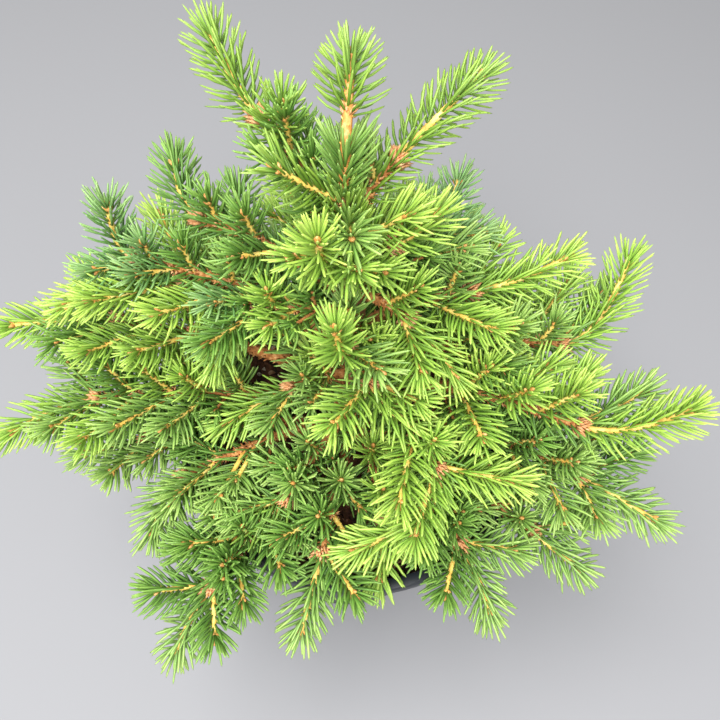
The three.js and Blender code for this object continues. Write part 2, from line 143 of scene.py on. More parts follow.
def across(tangents):  # the directions to the left of a tangent and above it
    left = np.cross(up, tangents)
    upright = np.linalg.norm(left, axis=-1, keepdims=True) < 1e-6
    left = unit(np.where(upright, (1.0, 0.0, 0.0), left))
    return left, np.cross(tangents, left)


def aside(tangent, left, above, turn, lift):  # the heading of a shoot that leaves its stem
    onward, leftward, upward = heading(turn, lift)
    return tangent * onward + left * leftward + above * upward


def turned(first, second, angles):  # the first direction, turned by each angle towards the second
    return first * np.cos(angles)[..., None] + second * np.sin(angles)[..., None]


class Way:  # one or more quadratic arches, measured along their length
    divisions = 200

    def __init__(self, *arches):
        self.arches = np.array(arches)
        shares = np.arange(len(arches) * self.divisions + 1) / self.divisions
        points = self.pointsAt(shares)[0]
        steps = np.linalg.norm(np.diff(points, axis=0), axis=1)
        self.shares = shares
        self.marks = np.concatenate([[0], np.cumsum(steps)])
        self.length = self.marks[-1]
        self.forkAt = self.marks[self.divisions]

    def pointsAt(self, shares):
        which = np.minimum(shares.astype(int), len(self.arches) - 1)
        t = (shares - which)[:, None]
        start, bend, end = (self.arches[which, k] for k in range(3))
        points = (1 - t) ** 2 * start + 2 * t * (1 - t) * bend + t * t * end
        return points, (1 - t) * (bend - start) + t * (end - bend)

    def along(self, distances):  # centres, tangents, lefts and aboves
        shares = np.interp(np.atleast_1d(distances), self.marks, self.shares)
        points, slopes = self.pointsAt(shares)
        tangents = unit(slopes)
        return points, tangents, *across(tangents)

    def at(self, distance):
        return [values[0] for values in self.along(distance)]


# The plant's plan, in millimetres and degrees

plantPlan = {
    "trunkBase": 108.3, "trunkTip": 246, "trunkRadius": 6.4, "tipRadius": 2.1,
    "flareRadius": 3.4, "flareHeight": 9, "leanTurn": 146, "leanReach": 11,
    "trunkRings": (0, 2, 5, 10, 18, 32, 52, 76, 102, 122),  # rises of the trunk's rings above its base
    "clear": 0.3, "arch": 0.13, "kneeShare": 0.4,
    "boughRadius": 1.6, "boughRadiusPerReach": 0.012, "boughTipShare": 0.72, "bareShare": 0.3,
    "stemRadius": 1.7, "leaderRadius": 1.9, "stemToBough": 0.9, "coreTipRadius": 0.9,
    "stemStep": 7.8, "endSpike": 10, "sideRise": 0.08, "roomToPot": 3,
    "siteStep": 14, "siteRoom": 4,  # side shoots stand in pairs at sites along each limb
    "sideTurn": 50, "sideTurnDraw": (0.8, 1.2), "sideLift": 12,
    "sideShare": 0.72, "sideShareDraw": (0.75, 1.15),
    "topTurn": 35, "topLift": 55, "topShare": 0.5,
    "topFrom": 190,  # limbs with a higher foot bear needles of this year's green all along
    "firstSeed": 11,
}

potPlan = {
    "height": 125, "lipRadius": 75, "neckRadius": 72.6, "baseRadius": 50, "wall": 2.2,
    "floor": 3, "lipHeight": 6, "soilTop": 108, "footWidth": 7, "footHeight": 0.8,
    "drainHoles": 6, "drainRadius": 4.5, "drainReach": 33, "drainSides": 28,
    "ringHeights": (6, 40, 80), "steps": 96, "sharpFrom": 35,
    # corners in mm: in from the lip and up from its foot, in from the lip and down from the top,
    # out from the mouth and down from the top, and in from the inside's foot and up from the floor
    "lipFootCorners": ((0.3, 0.2), (0, 0.8)), "lipTopCorners": ((0, 1.2), (0.4, 0.3), (1.2, 0)),
    "mouthCorners": ((1.0, 0), (0.3, 0.3), (0, 1.2)), "floorCorner": (1.5, 2),
}

leader = {"name": "leader", "turn": 92, "lift": 52, "length": 37, "tone": "high"}

# foot: height on the trunk. reach and height: where the last fork is. shoot: length of the end shoot.
# veer and lift: its change of heading and its rise. tone: its green. A limb with no bough is short,
# so its foliage meets the trunk itself. sides: how long its side shoots are, against the others'.
def planLimb(name, turn, foot, reach, height, shoot, veer, lift, tone, bough=True, sides=1.0):
    return {"name": name, "turn": turn, "foot": foot, "reach": reach, "height": height, "shoot": shoot,
            "veer": veer, "lift": lift, "tone": tone, "bough": bough, "sides": sides}


limbs = [planLimb(*row) for row in (
    ("left_long", 189, 133, 100, 149, 36, 20, -5, "fresh"),
    ("left", 176, 150, 91, 170, 40, 17, 5, "fresh"),
    ("right_front", 340, 141, 90, 150, 34, -4, -9, "leaf"),
    ("right", 343, 158, 82, 175, 38, 17, 28, "lime"),
    ("right_back", 6, 166, 74, 177, 40, 42, 35, "fresh"),
    ("left_back", 171, 184, 79, 198, 22, -30, 62, "blue"),
    ("left_upper", 170, 175, 63, 191, 44, 30, -2, "lime"),
    ("back_left_top", 141, 231, 36, 252, 30, -9, 27, "high", False, 0.5),
    ("back_right_top", 48, 236, 18, 248, 40, 1, 19, "high", False, 0.5),
    ("back_left", 161, 204, 56, 214, 24, -38, 20, "mature", True, 0.8),
    ("back_right", 49, 203, 35, 206, 30, 18, 5, "blue", False),
    ("right_upper", 18, 189, 40, 196, 38, 1, 15, "lime"),
    ("front_mid", 306, 168, 52, 170, 42, -80, -24, "lime"),
    ("front_left_low", 239, 116, 90, 129, 30, 2, -33, "leaf"),
    ("front_low", 263, 124, 63, 136, 32, -4, -27, "leaf"),
    ("front_right_low", 308, 126, 69, 134, 31, -5, -28, "leaf"),
    ("right_front_low", 325, 118, 84, 136, 26, 9, -22, "leaf"),
    ("left_lowest", 195, 119, 85, 130, 28, 2, -8, "leaf"),
    ("left_front_low", 212, 127, 73, 136, 27, 31, -22, "leaf"),
    ("left_front_upper", 187, 194, 34, 196, 26, 37, -42, "fresh", False),
    ("front_left_inner", 245, 140, 51, 141, 28, -38, -18, "fresh"),
    ("front_inner", 286, 134, 50, 138, 25, -16, -22, "fresh", False),
    ("left_inner", 205, 160, 25, 161, 32, 2, -20, "fresh", False),
    ("front_right_mid", 286, 182, 22, 187, 31, 45, -20, "lime", False),
    ("front_right_upper", 343, 206, 18, 202, 29, -18, -30, "lime", False),
    ("front_upper", 267, 197, 18, 202, 25, -16, 64, "fresh", False),
    ("top_front", 245, 224, 10, 231, 25, 10, 58, "lime", False),
    ("top_right", 5, 221, 11, 227, 19, 25, 25, "lime", False),
    ("back_low_right", 33, 134, 66, 143, 33, 4, 6, "leaf"),
    ("back_low", 68, 122, 66, 135, 32, 4, -2, "blue"),
    ("back_low_left", 103, 130, 66, 142, 32, 4, 4, "leaf"),
    ("left_back_low", 138, 142, 70, 146, 33, 4, 2, "leaf"),
    ("back_mid_right", 60, 168, 44, 176, 30, -6, 8, "leaf"),
    ("back_mid_left", 116, 172, 48, 184, 30, 6, 10, "fresh", False),
)]


def trunkCentre(height):
    plan = plantPlan
    share = (height - plan["trunkBase"]) / (plan["trunkTip"] - plan["trunkBase"])
    return heading(plan["leanTurn"]) * plan["leanReach"] * share ** 2 + up * height


def trunkRadius(height):
    plan = plantPlan
    rise = height - plan["trunkBase"]
    share = rise / (plan["trunkTip"] - plan["trunkBase"])
    flare = plan["flareRadius"] * math.exp(-rise / plan["flareHeight"])
    return plan["trunkRadius"] + (plan["tipRadius"] - plan["trunkRadius"]) * share + flare


def boughRadius(limb):
    return plantPlan["boughRadius"] + plantPlan["boughRadiusPerReach"] * limb["reach"]


def limbWay(limb):  # from the trunk to the last fork, and on along the end shoot
    plan = plantPlan
    out = heading(limb["turn"])
    centre = trunkCentre(limb["foot"])
    foot = centre + out * (trunkRadius(limb["foot"] - boughRadius(limb)) + plan["clear"])
    fork = centre + out * limb["reach"]
    fork[2] = limb["height"]
    bend = (foot + fork) / 2 + up * plan["arch"] * limb["reach"]
    knee = fork + unit(fork - bend) * plan["kneeShare"] * limb["shoot"]
    tip = fork + heading(limb["turn"] + limb["veer"], limb["lift"]) * limb["shoot"]
    return Way((foot, bend, fork), (fork, knee, tip))


def leaderWay():
    foot = trunkCentre(plantPlan["trunkTip"] + plantPlan["clear"])
    bend = foot + up * leader["length"] / 2
    return Way((foot, bend, foot + heading(leader["turn"], leader["lift"]) * leader["length"]))


def straightWay(start, direction, length):
    tip = start + direction * length + up * plantPlan["sideRise"] * length
    return Way((start, start + direction * length / 2, tip))


def planShoot(way, start, radius, limb, age):
    length = way.length - start
    gaps = max(2, int(length / plantPlan["stemStep"] + 0.5))
    shares = np.linspace(0, 1, gaps + 1)
    centres, tangents = way.along(start + length * shares)[:2]
    ends = np.vstack([centres[1:], centres[-1] + tangents[-1] * plantPlan["endSpike"]])
    radii = radius + (plantPlan["coreTipRadius"] - radius) * shares
    return {"way": way, "start": start, "limb": limb, "age": age, "lines": (centres, ends, radii)}


def gapsToLines(p, q, starts, ends):  # the gap between one line and each of the others
    d1, d2, r = q - p, ends - starts, p - starts
    a = d1 @ d1
    e = np.einsum("ij,ij->i", d2, d2)
    f = np.einsum("ij,ij->i", d2, r)
    b, c = d2 @ d1, r @ d1
    denominator = a * e - b * b
    s = np.where(denominator > 1e-9, (b * f - c * e) / np.maximum(denominator, 1e-9), 0).clip(0, 1)
    t = (b * s + f) / e
    s = np.where(t < 0, -c / a, np.where(t > 1, (b - c) / a, s)).clip(0, 1)
    t = t.clip(0, 1)
    return np.linalg.norm(p + d1 * s[:, None] - starts - d2 * t[:, None], axis=1)


def potOuterRadius(heights):
    neckHeight = potPlan["height"] - potPlan["lipHeight"]
    share = np.minimum(heights / neckHeight, 1)
    return potPlan["baseRadius"] + (potPlan["neckRadius"] - potPlan["baseRadius"]) * share


def potInnerRadius(height):
    return float(potOuterRadius(height)) - potPlan["wall"]


def nearPot(points, margin):  # true for points in the pot's wall or the soil, or too near to them
    radii = np.hypot(points[..., 0], points[..., 1])
    heights = points[..., 2]
    inWall = (heights < potPlan["height"] + margin) & (radii < potPlan["lipRadius"] + margin)
    inWall &= radii > potOuterRadius(heights) - potPlan["wall"] - margin
    return inWall | ((heights < potPlan["soilTop"] + margin) & (radii < potPlan["lipRadius"]))


class Cores:  # the lines of all stems so far: starts, ends, radii, and the numbers of shoot and parent
    def __init__(self):
        self.columns = [np.empty((0, 3)), np.empty((0, 3)), np.empty(0), np.empty(0), np.empty(0)]

    def add(self, starts, ends, radii, owner=0, parent=0):
        rows = (starts, ends, radii, np.full(len(radii), owner), np.full(len(radii), parent))
        self.columns = [np.concatenate(pair) for pair in zip(self.columns, rows)]

    def block(self, shoot, stem, form):
        starts, ends, radii, owners, parents = self.columns
        inMass = (owners == stem["number"]) | (parents == stem["number"])
        rooms = radii + np.where(inMass, form["roomInMass"], form["roomToOthers"])
        for k, (start, end, radius) in enumerate(zip(*shoot["lines"])):
            spots = start + (end - start) * np.linspace(0, 1, 5)[:, None]
            if nearPot(spots, plantPlan["roomToPot"]).any():
                return True
            near = gapsToLines(start, end, starts, ends) < radius + rooms
            if (near & ~inMass if k == 0 else near).any():
                return True
        return False


cores = Cores()
shoots = []
sideForm = {"radius": 1.4, "tries": (1, 0.75, 0.55), "shortest": 14, "roomInMass": 0.6, "roomToOthers": 2.5}
twigletForm = {"radius": 0.8, "tries": (1, 0.8, 0.6), "shortest": 0, "roomInMass": 0.2, "roomToOthers": 0.6}


def keepShoot(shoot, parent=0):
    shoots.append(shoot)
    shoot["number"] = len(shoots)
    cores.add(*shoot["lines"], shoot["number"], parent)


def placeShoot(limb, stem, centre, direction, wanted, age, form):
    for share in form["tries"]:  # shorter where it has to be, or not at all
        length = wanted * share
        if length < form["shortest"]:
            return
        shoot = planShoot(straightWay(centre, direction, length), 0, form["radius"], limb, age)
        if not cores.block(shoot, stem, form):
            keepShoot(shoot, stem["number"])
            return


def planSideShoots(limb):  # at the fork and at even steps back from it
    plan, stem, way = plantPlan, limb["stem"], limb["way"]
    draw = seededDraw(limb["seed"])
    share = plan["sideShare"] * limb["sides"]
    for back in np.arange(0, way.forkAt - stem["start"] - plan["siteRoom"], plan["siteStep"]):
        place = way.at(way.forkAt - back)
        for hand in (1, -1):
            turn = hand * plan["sideTurn"] * draw(*plan["sideTurnDraw"])
            direction = aside(*place[1:], turn, plan["sideLift"])
            wanted = limb["shoot"] * share * draw(*plan["sideShareDraw"])
            placeShoot(limb, stem, place[0], direction, wanted, "new", sideForm)
        if back:
            direction = aside(*place[1:], plan["topTurn"] * (2 * draw() - 1), plan["topLift"])
            placeShoot(limb, stem, place[0], direction, limb["shoot"] * plan["topShare"], "new", sideForm)


def planPlant():
    plan = plantPlan
    heights = [plan["trunkBase"] + rise for rise in plan["trunkRings"]] + [plan["trunkTip"]]
    centres = np.array([trunkCentre(height) for height in heights])
    cores.add(centres[:-1], centres[1:], np.array([trunkRadius(height) for height in heights[:-1]]))
    for k, limb in enumerate(limbs):
        limb["seed"] = plan["firstSeed"] + k
        limb["way"] = limbWay(limb)
        limb["boughLength"] = plan["bareShare"] * limb["reach"] if limb["bough"] else 0
        start, radius = 0, plan["stemRadius"]
        if limb["boughLength"]:
            start = limb["boughLength"] + plan["clear"]
            radius = plan["stemToBough"] * plan["boughTipShare"] * boughRadius(limb)
            middle = limb["way"].along(limb["boughLength"] * np.array([0, 0.5, 1]))[0]
            cores.add(middle[:2], middle[1:], np.full(2, boughRadius(limb)))
        limb["stem"] = planShoot(limb["way"], start, radius, limb, "stem")
        keepShoot(limb["stem"])
    keepShoot(planShoot(leaderWay(), 0, plan["leaderRadius"], leader, "leader"))
    for limb in limbs:
        planSideShoots(limb)


planPlant()
print(f"planned {len(shoots)} shoots on {len(limbs)} limbs")


# Finer twigs in the same reach: between the sites of the side shoots, and round the trunk

twiglets = {
    "step": 14, "offset": 7, "turn": (42, 72), "lift": (-5, 40), "length": (11, 18),
    "upTurn": (-50, 50), "upLift": (55, 85), "upLength": (10, 15),
    "trunkFrom": 132, "trunkNewFrom": 150, "trunkTo": 244, "trunkStep": 3.6,
    "trunkTurn": (250, 137.5), "trunkLift": (15, 60), "trunkLength": (13, 24),
    "degreesPerMm": 9,  # how a limb's turn is weighed against its height, to find the nearest limb
    "boughShare": 0.5,  # how much of each bough stays without
    "newShare": 0.5,  # how much of each limb, from its fork back, bears this year's green
    # over the pot's front left rim: limb, distance from the trunk, turn, lift, length
    "overRim": [("left_front_low", 44, 45, 12, 26), ("left_front_low", 56, 30, 20, 22),
                ("front_left_low", 50, -38, 20, 24), ("front_left_low", 62, -38, 20, 24)],
    "bareTops": ("left_long", "left", "right", "left_front_low"),  # their older wood shows from above
    "seed": 90,
}

clearings = {  # lines from the soil up, where soil and wood show between the shoots in the photograph
    "lines": (((-50, -19, 108), (-38, -48, 172)),
              ((-1, -40, 108), (-1, -60, 160)),
              ((44, 12, 112), (38, -10, 160))),
    "radius": 9,  # kept free of twiglets
    "needleRadius": 5,  # and of needles
}


def inClearing(points):
    found = np.zeros(len(points), bool)
    for start, end in np.array(clearings["lines"], float):
        ahead = end - start
        shares = ((points - start) @ ahead / (ahead @ ahead)).clip(0, 1)
        gaps = np.linalg.norm(points - start - shares[:, None] * ahead, axis=1)
        found |= gaps < clearings["needleRadius"]
    return found


def planRimTwiglets():
    for name, distance, turn, lift, length in twiglets["overRim"]:
        limb = next(each for each in limbs if each["name"] == name)
        place = limb["way"].at(distance)
        direction = aside(*place[1:], turn, lift)
        placeShoot(limb, limb["stem"], place[0], direction, length, "new", twigletForm)


def planLimbTwiglets(limb, draw):
    plan, way, stem = twiglets, limb["way"], limb["stem"]
    last = way.forkAt - plan["boughShare"] * limb["boughLength"] - plantPlan["siteRoom"]
    for back in np.arange(plan["offset"], last, plan["step"]):
        place = way.at(way.forkAt - back)
        age = "new" if back < plan["newShare"] * way.forkAt else "mature"
        for hand in (1, -1) if age == "mature" else ():
            direction = aside(*place[1:], hand * draw(*plan["turn"]), draw(*plan["lift"]))
            placeShoot(limb, stem, place[0], direction, draw(*plan["length"]), age, twigletForm)
        direction = aside(*place[1:], draw(*plan["upTurn"]), draw(*plan["upLift"]))
        length = draw(*plan["upLength"])
        if limb["name"] not in plan["bareTops"]:
            placeShoot(limb, stem, place[0], direction, length, age, twigletForm)


def planTrunkTwiglets(draw):  # each is kept with the limb whose foot is nearest
    plan = twiglets

    def farness(limb):
        return abs(limb["foot"] - height) + abs(limb["turn"] - turn % 360) / plan["degreesPerMm"]

    firstTurn, turnStep = plan["trunkTurn"]
    for k, height in enumerate(np.arange(plan["trunkFrom"], plan["trunkTo"], plan["trunkStep"])):
        turn = firstTurn + k * turnStep
        direction = heading(turn, draw(*plan["trunkLift"]))
        limb = min(limbs, key=farness)
        age = "new" if height > plan["trunkNewFrom"] else "mature"
        length = draw(*plan["trunkLength"])
        placeShoot(limb, {"number": 0}, trunkCentre(height), direction, length, age, twigletForm)


def planTwiglets():
    draw = seededDraw(twiglets["seed"])
    planRimTwiglets()
    starts, ends = np.array(clearings["lines"], float).transpose(1, 0, 2)
    cores.add(starts, ends, np.full(len(starts), clearings["radius"]))
    for limb in limbs:
        planLimbTwiglets(limb, draw)
    planTrunkTwiglets(draw)


planTwiglets()
print(f"carried on to {len(shoots)} shoots and twiglets")


# Camera: at the photograph's viewing angle, close above the front of the pot

cameraView = {  # place in metres, with the directions to its right and behind it
    "sensor": 36, "lens": 35.3, "nearest": 0.01, "place": (0, -0.1424, 0.3929),
    "right": (0.99604, 0.07572, 0.04665), "back": (0.00116, -0.53554, 0.84451),
}


def addCamera():
    data = bpy.data.cameras.new("camera")
    data.sensor_width = cameraView["sensor"]
    data.lens = cameraView["lens"]
    data.clip_start = cameraView["nearest"]
    camera = bpy.data.objects.new("camera", data)
    right, back = Vector(cameraView["right"]), Vector(cameraView["back"])
    pose = Matrix((right, back.cross(right), back)).transposed()
    camera.matrix_world = Matrix.Translation(cameraView["place"]) @ pose.to_4x4()
    scene.collection.objects.link(camera)
    scene.camera = camera


addCamera()


# Needles: four-sided spikes, placed by the golden turn along each shoot

needleShape = {
    "length": 11.6,  # in mm, where a strong shoot has its longest needles
    "thickness": 1.1, "flatness": 0.85, "sides": 4,
    "stations": (0, 0.12, 0.6, 0.92, 1), "widths": (0.6, 0.85, 1.0, 0.72, 0),
    "lengthAlong": ((0, 0.12, 0.35, 0.8, 1), (0.7, 0.88, 1.0, 0.95, 0.74)),
    "leanAlong": ((0, 0.15, 0.5, 0.85, 1), (74, 69, 63, 55, 38)),  # degrees off the stem
    "forwardBend": 0.24,  # how far a needle's point curves towards the tip of its shoot
    "upBend": 0.04, "looseBend": 0.06,  # and upwards, and at random to any side
    "topLean": 0.45,  # how much nearer the stem the needles on top of a level shoot lie
    "onTop": (0.7, 0.86),  # how level the shoot and how far up the needle is, to be right on top
    "underSwept": 0.55,  # how far the needles under a level shoot are swept to its sides
    "sideRise": 0.1,  # and how much higher all of its needles point
    "turnSpread": 0.12, "leanSpread": 4.5, "sizeSpread": (0.86, 1.04), "thicknessSpread": (0.88, 1.1),
    "shadeAlong": 0.8, "shadeSpread": (0.1, 0.22),  # lighter towards the tip, and at random
    "foot": 0.45,  # a needle's foot lies this far from the middle of its stem
    "tested": (0.3, 0.65, 1.0), "roomToPot": 0.6,  # points along a needle that keep that clear of the pot
    "middle": 0.6,  # the point along it that keeps out of the clearings
    "mostInPiece": 6333,  # needles of 30 triangles each, so that a piece stays under 200,000
}

needleKinds = {  # spacing, size, share of the usual lean, and the share kept right on top of a level shoot
    "new": (0.36, 1, 1, 0.6), "top": (0.36, 0.9, 1, 0.6), "bud": (0, 0.85, 0.75, 0.6),
    "wood": (0.58, 0.85, 1, 0.3), "mature": (0.58, 0.85, 1, 0.6),
    "leader": (0.24, 0.97, 1.18, 0.6), "leaderFan": (0.16, 1.05, 0.7, 0.6),
    "trunk": (0.3, 1, 0.7, 0.6), "trunkFan": (0.16, 1.1, 0.65, 0.6),
}

needleGrowth = {
    "weakSize": 0.8, "strongLength": 26,  # the size on the shortest shoots, and how long a strong one is
    "bare": {"fork": 1, "new": 2, "mature": 1.5, "top": 6, "wood": 8},  # lengths without needles at a foot
    "woodShare": 0.5,  # the outer share of a limb that still bears needles
    "leaderFan": 13, "leaderFrom": 20, "leaderBareTo": 23,  # its stem shows between fan and needles
    "trunkFoot": 196, "trunkFan": 28, "trunkEnd": 0.5,  # where its needles begin, and the fan above
    "budNeedles": (1.6, 0.1, 12),  # distances from the shoot's end, and their number
    "seed": 31, "trunkSeed": 47,
}

tones = {  # three shades, from the older foot of a shoot to its newest part
    "lime": ("#8fb453", "#abcc61", "#c0dc73"),
    "fresh": ("#87ab50", "#a2c65e", "#b7d76e"),
    # high: a darker copy of the fresh tone, painted shade on the exposed top shoots so that they look less
    # lit
    "high": ("#779944", "#90b14e", "#9fbf66"),  # on the top shoots, in full light
    "leaf": ("#799e54", "#93b663", "#a9c875"),
    "blue": ("#6c965a", "#84ad6c", "#9abb7d"),
    "mature": ("#628843", "#769e4f", "#8ab05b"),
}
darker = {"lime": "fresh", "fresh": "leaf", "high": "leaf", "leaf": "mature", "blue": "leaf"}
darkerShares = (0.5, 0.2)  # half the side shoots turn a tone darker, and then a fifth of them all one more
needleRows = {tone: [] for tone in tones}  # limb, feet, directions, bends, lengths, radii and shades


def needlesOn(shoot, distances, kind, tone, random, size=1.0, newFrom=None):
    if len(distances) == 0:
        return
    shape, way, count = needleShape, shoot["way"], len(distances)
    kindSize, leanShare, topShare = needleKinds[kind][1:]
    centres, tangents, lefts, aboves = way.along(distances)
    newFrom = shoot["start"] if newFrom is None else newFrom
    shares = ((distances - newFrom) / (way.length - newFrom)).clip(0, 1)
    angles = goldenTurn * np.arange(count) + random.uniform(0, fullTurn)
    angles = angles + random.normal(0, shape["turnSpread"], count)
    side, rise = np.cos(angles), np.sin(angles)
    level = np.hypot(tangents[:, 0], tangents[:, 1])  # 1 on a level shoot, 0 on an upright one
    swept = rise * np.where(rise < 0, 1 - shape["underSwept"] * level, 1)
    radials = unit(lefts * side[:, None] + aboves * (swept + shape["sideRise"] * level)[:, None])
    leans = np.interp(shares, *shape["leanAlong"]) + random.normal(0, shape["leanSpread"], count)
    leans = np.radians(leans) * leanShare
    leans *= 1 - shape["topLean"] * level * rise.clip(0, 1) ** 2
    directions = turned(tangents, radials, leans)
    sizes = np.interp(shares, *shape["lengthAlong"]) * random.uniform(*shape["sizeSpread"], count)
    lengths = shape["length"] * sizes * (size * kindSize)
    bends = tangents * shape["forwardBend"] + up * shape["upBend"]
    bends = bends + random.normal(0, shape["looseBend"], (count, 3))
    feet = centres + radials * shape["foot"]
    onTop = (level > shape["onTop"][0]) & (rise > shape["onTop"][1])
    keep = ~onTop | (random.random(count) < topShare)
    keep &= ~inClearing(feet + directions * (shape["middle"] * lengths)[:, None])
    for share in shape["tested"]:
        keep &= ~nearPot(feet + directions * (lengths * share)[:, None], shape["roomToPot"])
    radii = shape["thickness"] / 2 * random.uniform(*shape["thicknessSpread"], count) * np.sqrt(sizes)
    shades = (shape["shadeAlong"] * shares + random.normal(*shape["shadeSpread"], count)).clip(0, 1)
    rows = [feet, directions, bends, lengths, radii, shades]
    needleRows[tone].append([shoot["limb"]["name"]] + [values[keep] for values in rows])


def growStretch(shoot, first, last, kind, tone, random, size=1.0, newFrom=None):
    needlesOn(shoot, np.arange(first, last, needleKinds[kind][0]), kind, tone, random, size, newFrom)


def growStemNeedles(shoot, random):  # the end shoot is new, the wood behind its fork is older
    limb, fork, bare = shoot["limb"], shoot["way"].forkAt, needleGrowth["bare"]
    growStretch(shoot, fork + bare["fork"], shoot["way"].length, "new", limb["tone"], random, newFrom=fork)
    if limb["foot"] > plantPlan["topFrom"]:
        growStretch(shoot, bare["top"], fork, "top", limb["tone"], random)
    else:
        first = max(needleGrowth["woodShare"] * fork, bare["wood"])
        growStretch(shoot, first, fork, "wood", "mature", random)


def growNeedles():
    growth = needleGrowth
    random = np.random.default_rng(growth["seed"])
    for shoot in shoots:
        age, end, tone = shoot["age"], shoot["way"].length, shoot["limb"]["tone"]
        strength = min((end - shoot["start"]) / growth["strongLength"], 1)
        size = growth["weakSize"] + (1 - growth["weakSize"]) * strength
        if age == "leader":
            first = growth["leaderBareTo"]
            growStretch(shoot, first, end, "leader", tone, random, newFrom=growth["leaderFrom"])
            growStretch(shoot, 0, growth["leaderFan"], "leaderFan", "leaf", random)
        elif age == "stem":
            growStemNeedles(shoot, random)
        elif age == "new":
            for chance in darkerShares:
                tone = darker.get(tone, tone) if random.random() < chance else tone
            growStretch(shoot, growth["bare"]["new"], end, "new", tone, random, size)
        else:
            tone = "mature"
            growStretch(shoot, growth["bare"]["mature"], end, "mature", tone, random)
        first, last, count = growth["budNeedles"]
        ends = np.linspace(end - first, end - last, count)
        needlesOn(shoot, ends, "bud", tone, random, size, newFrom=0)


def growTrunkNeedles():
    growth, tip = needleGrowth, plantPlan["trunkTip"]
    random = np.random.default_rng(growth["trunkSeed"])
    foot, fan = growth["trunkFoot"], growth["trunkFan"]
    trunk = Way((trunkCentre(foot), trunkCentre((foot + tip) / 2), trunkCentre(tip)))
    shoot = {"way": trunk, "start": 0, "limb": leader}
    growStretch(shoot, 0, fan, "trunk", "leaf", random)
    growStretch(shoot, fan, trunk.length - growth["trunkEnd"], "trunkFan", "high", random)


def spikeMesh(name, rows, shape):  # tapered spikes, many in one mesh
    feet, directions, bends, lengths, radii, shades = [np.concatenate(column) for column in zip(*rows)]
    stations, widths, sides = shape["stations"], shape["widths"], shape["sides"]
    ringCount = len(stations) - 1
    lefts = unit(np.cross(up + 0.01, directions))  # not quite upright, so that no spike lies along it
    aboves = np.cross(directions, lefts)
    points = np.empty((len(feet), ringCount * sides + 1, 3))
    for ring, (station, width) in enumerate(zip(stations, widths)):
        centres = feet + (directions * station + bends * station ** 2) * lengths[:, None]
        points[:, ring * sides:] = centres[:, None]
        for side in range(sides if ring < ringCount else 0):
            angle = 2 * math.pi * side / sides
            outward = lefts * math.cos(angle) + aboves * math.sin(angle) * shape["flatness"]
            points[:, ring * sides + side] += outward * (radii * width)[:, None]
    faces = [(0, k + 1, k) for k in range(1, sides - 1)]
    for ring in range(ringCount):
        for side in range(sides):
            a, b = ring * sides + side, ring * sides + (side + 1) % sides
            if ring == ringCount - 1:
                faces.append((a, b, ringCount * sides))
            else:
                faces += [(a, b, b + sides), (a, b + sides, a + sides)]
    mesh = meshOfCopies(name, points, faces)
    along = np.append(np.repeat(stations[:-1], sides), stations[-1])
    # for the material: where on its spike a point lies, and the shade of the spike
    facts = {"along": np.tile(along, len(feet)), "shade": np.repeat(shades, points.shape[1])}
    for fact, values in facts.items():
        mesh.attributes.new(fact, "FLOAT", "POINT").data.foreach_set("value", values.astype(np.float32))
    return mesh


needleSkin = {
    "settings": {"Roughness": 0.42, "IOR": 1.48, "Subsurface Weight": 0.15, "Subsurface Scale": 0.8 * mm,
                 "Subsurface Radius": (0.9, 1.0, 0.4)},
    # depth: painted shade laid over the tone, darkest at a needle's foot by the stem and fading out towards
    # its point
    "depth": ("#b9b29c", "#b8c6ae", "#dde6d6", "#f6f4ec", "#f7f2ee"),  # laid over the tone, foot to point
    "patch": 4, "spread": (0.3, 0.7), "swing": (0.88, 1.14),  # patches 4 mm wide, darker and lighter
    "saturation": 1.04,
}


def makeNeedleMaterial(name, colours):
    # spruce needles: a waxy green skin, seen as soft gloss on a slightly clear body, with painted shade
    # that darkens each needle near the stem
    skin = needleSkin
    material, tree, shader, place = newMaterial(name, skin["settings"])
    shade = addNode(tree, "Attribute", {"attribute_name": "shade"})
    along = addNode(tree, "Attribute", {"attribute_name": "along"})
    body = addNode(tree, "ValToRGB", {}, [("Fac", shade, "Fac")], evenStops(colours))
    # painted shade: the tone is darkened towards each needle's foot, where the shoot shades it
    depth = addNode(tree, "ValToRGB", {}, [("Fac", along, "Fac")], evenStops(skin["depth"]))
    tinted = addNode(tree, "VectorMath", {"operation": "MULTIPLY"},
                     [(0, body, "Color"), (1, depth, "Color")])
    patches = addNode(tree, "TexNoise", {"Scale": scaleOf(skin["patch"]), "Detail": 2.0},
                      [("Vector", place, "Object")])
    ranges = dict(zip(("From Min", "From Max", "To Min", "To Max"), skin["spread"] + skin["swing"]))
    swing = addNode(tree, "MapRange", ranges, [("Value", patches, "Fac")])
    hue = addNode(tree, "HueSaturation", {"Saturation": skin["saturation"]},
                  [("Value", swing, "Result"), ("Color", tinted, "Vector")])
    tree.links.new(hue.outputs["Color"], shader.inputs["Base Color"])
    return material


def splitRows(rows):  # so that no mesh grows too large
    parts, count = [[]], 0
    for row in rows:
        if count + len(row[1]) > needleShape["mostInPiece"]:
            parts.append([])
            count = 0
        parts[-1].append(row)
        count += len(row[1])
    return parts


def addNeedles():
    total = 0
    for tone, colours in tones.items():
        material = makeNeedleMaterial(f"waxy spruce needle {tone}", colours)
        parts = splitRows(needleRows[tone])
        for k, part in enumerate(parts):
            name = f"needles_{tone}" + (f"_{k + 1}" if len(parts) > 1 else "")
            mesh = spikeMesh(name, [row[1:] for row in part], needleShape)
            addObject(name, mesh, material, sorted({f"foliage_{row[0]}" for row in part}))
            total += sum(len(row[1]) for row in part)
            print(f"{name}: {len(mesh.polygons)} triangles")
    print(f"{total} needles")


growNeedles()
growTrunkNeedles()
addNeedles()


# Stems: tubes along the ways, made from curves

